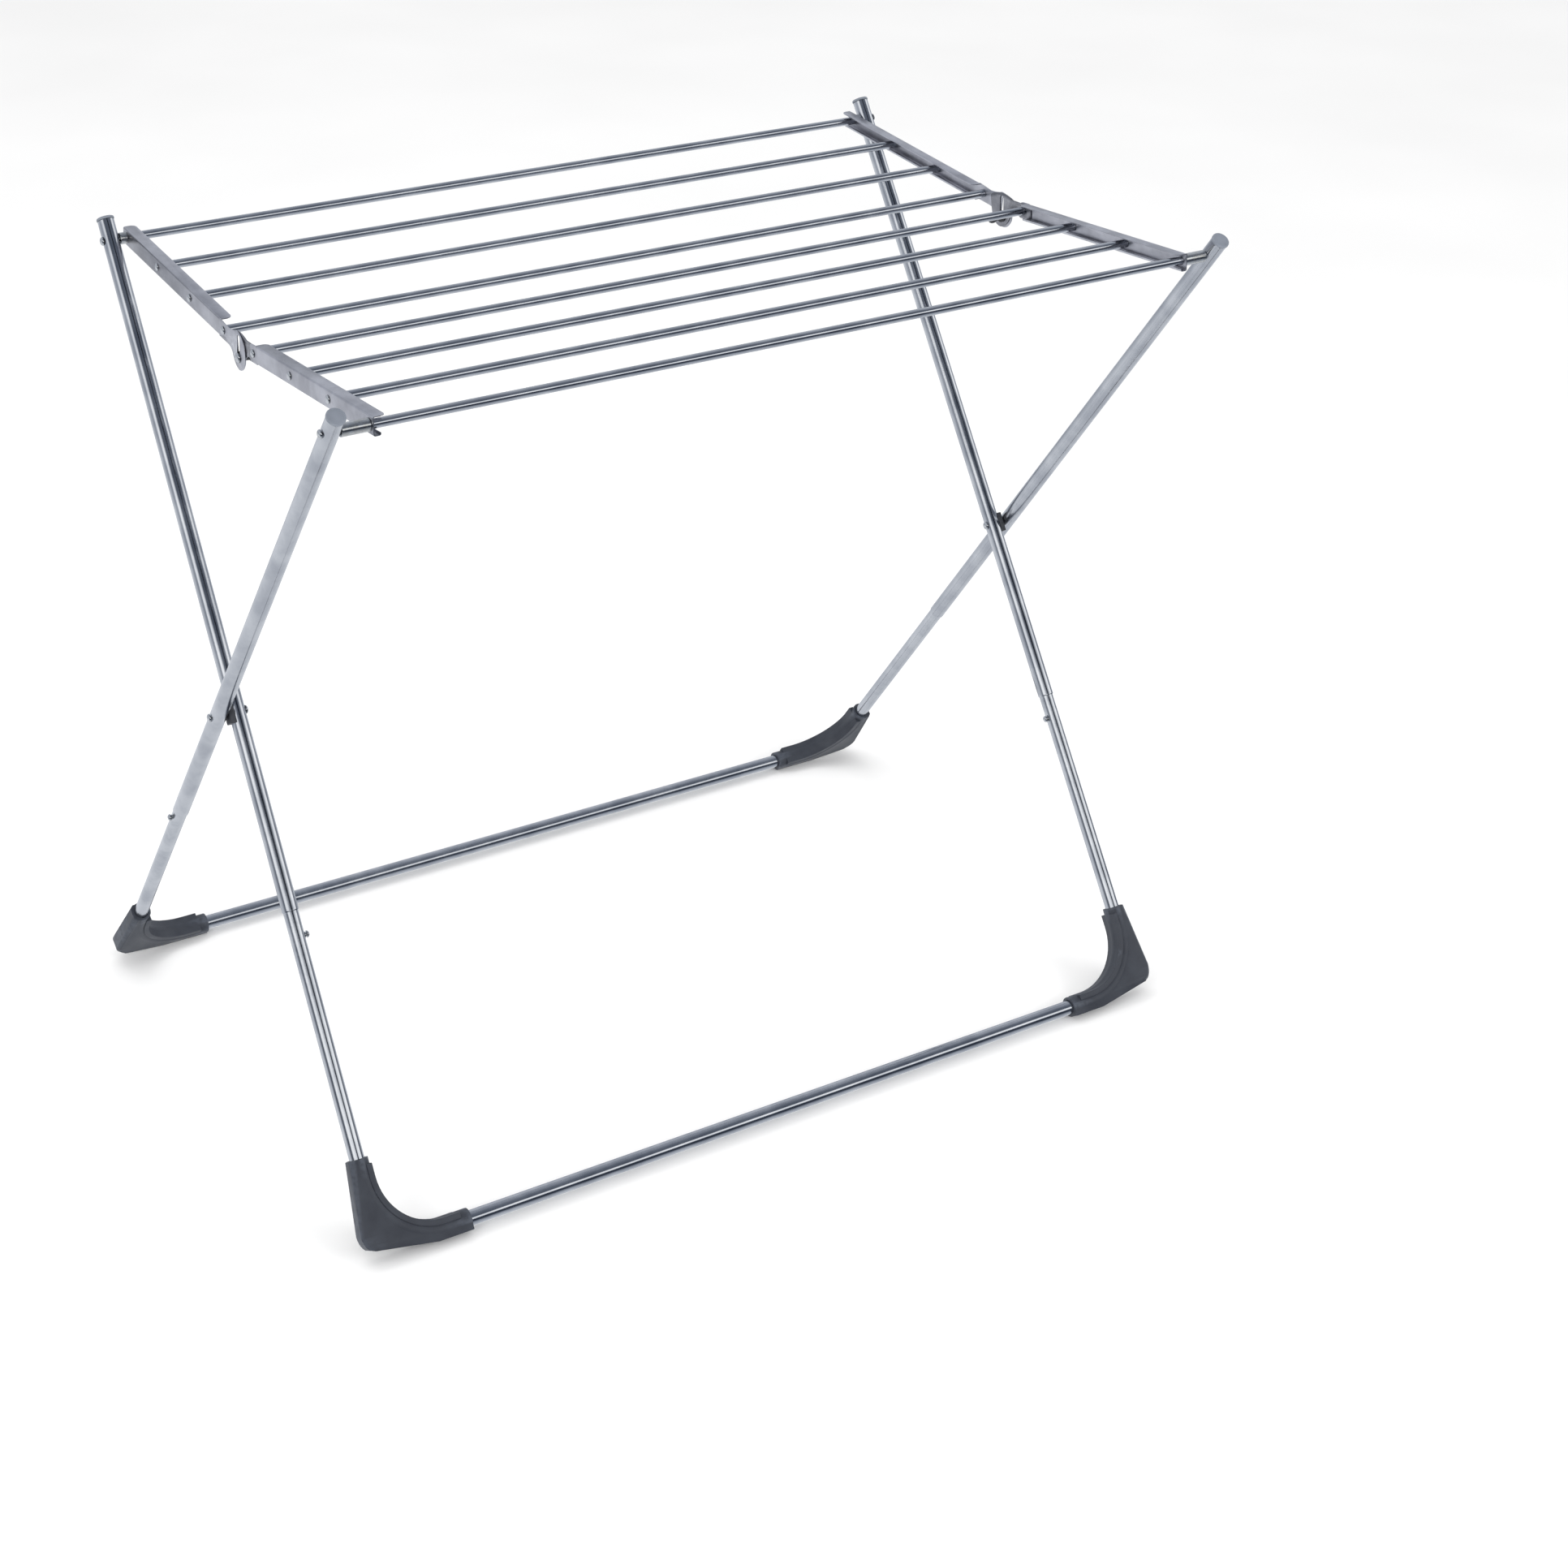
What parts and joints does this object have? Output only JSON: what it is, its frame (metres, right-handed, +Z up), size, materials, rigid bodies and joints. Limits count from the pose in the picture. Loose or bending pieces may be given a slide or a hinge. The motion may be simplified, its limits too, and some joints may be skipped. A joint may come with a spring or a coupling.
{
  "type": "folding clothes drying rack",
  "caption": "Free-standing folding airer: two crossed tube frames with corner feet carry a flat top of parallel hanging rails on channel arms that hinge in the middle",
  "frame": {"origin": "on the floor, under the middle of the rack", "axes": "+X along the rails, +Y to the back, +Z up"},
  "size_m": [1.124, 0.71, 0.9799],
  "materials": {
    "steel_tube": "polished stainless steel tube",
    "steel_rail": "polished stainless steel tube",
    "satin_channel": "satin rolled steel sheet",
    "plated_steel": "bright plated fastener",
    "foot_plastic": "moulded blue-grey plastic, fine grain",
    "grey_plastic": "moulded light grey plastic",
    "dark_plastic": "moulded near-black plastic"
  },
  "bodies": {
    "inner_frame": {"inner_base": "steel_tube", "inner_leg_right": "steel_tube", "inner_cap_right": "grey_plastic", "inner_foot_right": "foot_plastic", "inner_stud_right": "plated_steel", "inner_leg_left": "steel_tube", "inner_cap_left": "grey_plastic", "inner_foot_left": "foot_plastic", "inner_stud_left": "plated_steel", "cross_rivet_right": "plated_steel", "cross_saddle_right": "dark_plastic", "cross_rivet_left": "plated_steel", "cross_saddle_left": "dark_plastic", "rear_pivot_bolt_right": "plated_steel", "rear_pivot_sleeve_right": "plated_steel", "rear_pivot_bolt_left": "plated_steel", "rear_pivot_sleeve_left": "plated_steel"},
    "outer_frame": {"outer_base": "steel_tube", "outer_leg_right": "steel_tube", "outer_cap_right": "grey_plastic", "outer_foot_right": "foot_plastic", "outer_stud_right": "plated_steel", "outer_leg_left": "steel_tube", "outer_cap_left": "grey_plastic", "outer_foot_left": "foot_plastic", "outer_stud_left": "plated_steel", "front_pivot_bolt_right": "plated_steel", "front_pivot_sleeve_right": "plated_steel", "front_pivot_bolt_left": "plated_steel", "front_pivot_sleeve_left": "plated_steel"},
    "rear_arms": {"rear_arm_right": "satin_channel", "rear_arm_left": "satin_channel", "rail_1": "steel_rail", "rail_2": "steel_rail", "rail_rivet_2_right": "plated_steel", "rail_rivet_2_left": "plated_steel", "rail_3": "steel_rail", "rail_rivet_3_right": "plated_steel", "rail_rivet_3_left": "plated_steel", "rail_4": "steel_rail", "rail_rivet_4_right": "plated_steel", "rail_rivet_4_left": "plated_steel"},
    "hinge_pins": {"hinge_pin_right": "plated_steel", "hinge_pin_left": "plated_steel"},
    "hinge_knobs": {"hinge_knob_right": "dark_plastic", "hinge_knob_left": "dark_plastic"},
    "front_arms": {"front_arm_right": "satin_channel", "front_arm_left": "satin_channel", "rail_8": "steel_rail", "rail_7": "steel_rail", "rail_rivet_7_right": "plated_steel", "rail_rivet_7_left": "plated_steel", "rail_6": "steel_rail", "rail_rivet_6_right": "plated_steel", "rail_rivet_6_left": "plated_steel", "rail_5": "steel_rail", "rail_rivet_5_right": "plated_steel", "rail_rivet_5_left": "plated_steel", "hinge_plate_right": "satin_channel", "hinge_plate_left": "satin_channel"}
  },
  "joints": [
    {"name": "leg_fold", "type": "hinge", "parent": "inner_frame", "child": "outer_frame", "pos_m": [0, 0, 0.50018], "axis": [-1, 0, 0], "range_deg": [0, 63.6]},
    {"name": "rear_arm_fold", "type": "hinge", "parent": "inner_frame", "child": "rear_arms", "pos_m": [0, 0.315, 0.952], "axis": [1, 0, 0], "range_deg": [0, 49.85]},
    {"name": "rear_slot_slide", "type": "slide", "parent": "rear_arms", "child": "hinge_pins", "axis": [0, -0.076, 0.9971], "range_m": [0, 0.0225]},
    {"name": "middle_hinge", "type": "hinge", "parent": "hinge_pins", "child": "hinge_knobs", "pos_m": [0, 0, 0.913], "axis": [-1, 0, 0], "range_deg": [0, 163.29]},
    {"name": "front_slot_slide", "type": "slide", "parent": "hinge_knobs", "child": "front_arms", "axis": [0, -0.076, -0.9971], "range_m": [0, 0.0225]}
  ],
  "couplings": [
    {"joint": "rear_arm_fold", "follows": "leg_fold", "ratio": 0.78376},
    {"joint": "rear_slot_slide", "follows": "leg_fold", "m_per_rad": 0.020271},
    {"joint": "middle_hinge", "follows": "leg_fold", "ratio": 2.5675},
    {"joint": "front_slot_slide", "follows": "leg_fold", "m_per_rad": 0.020271}
  ]
}
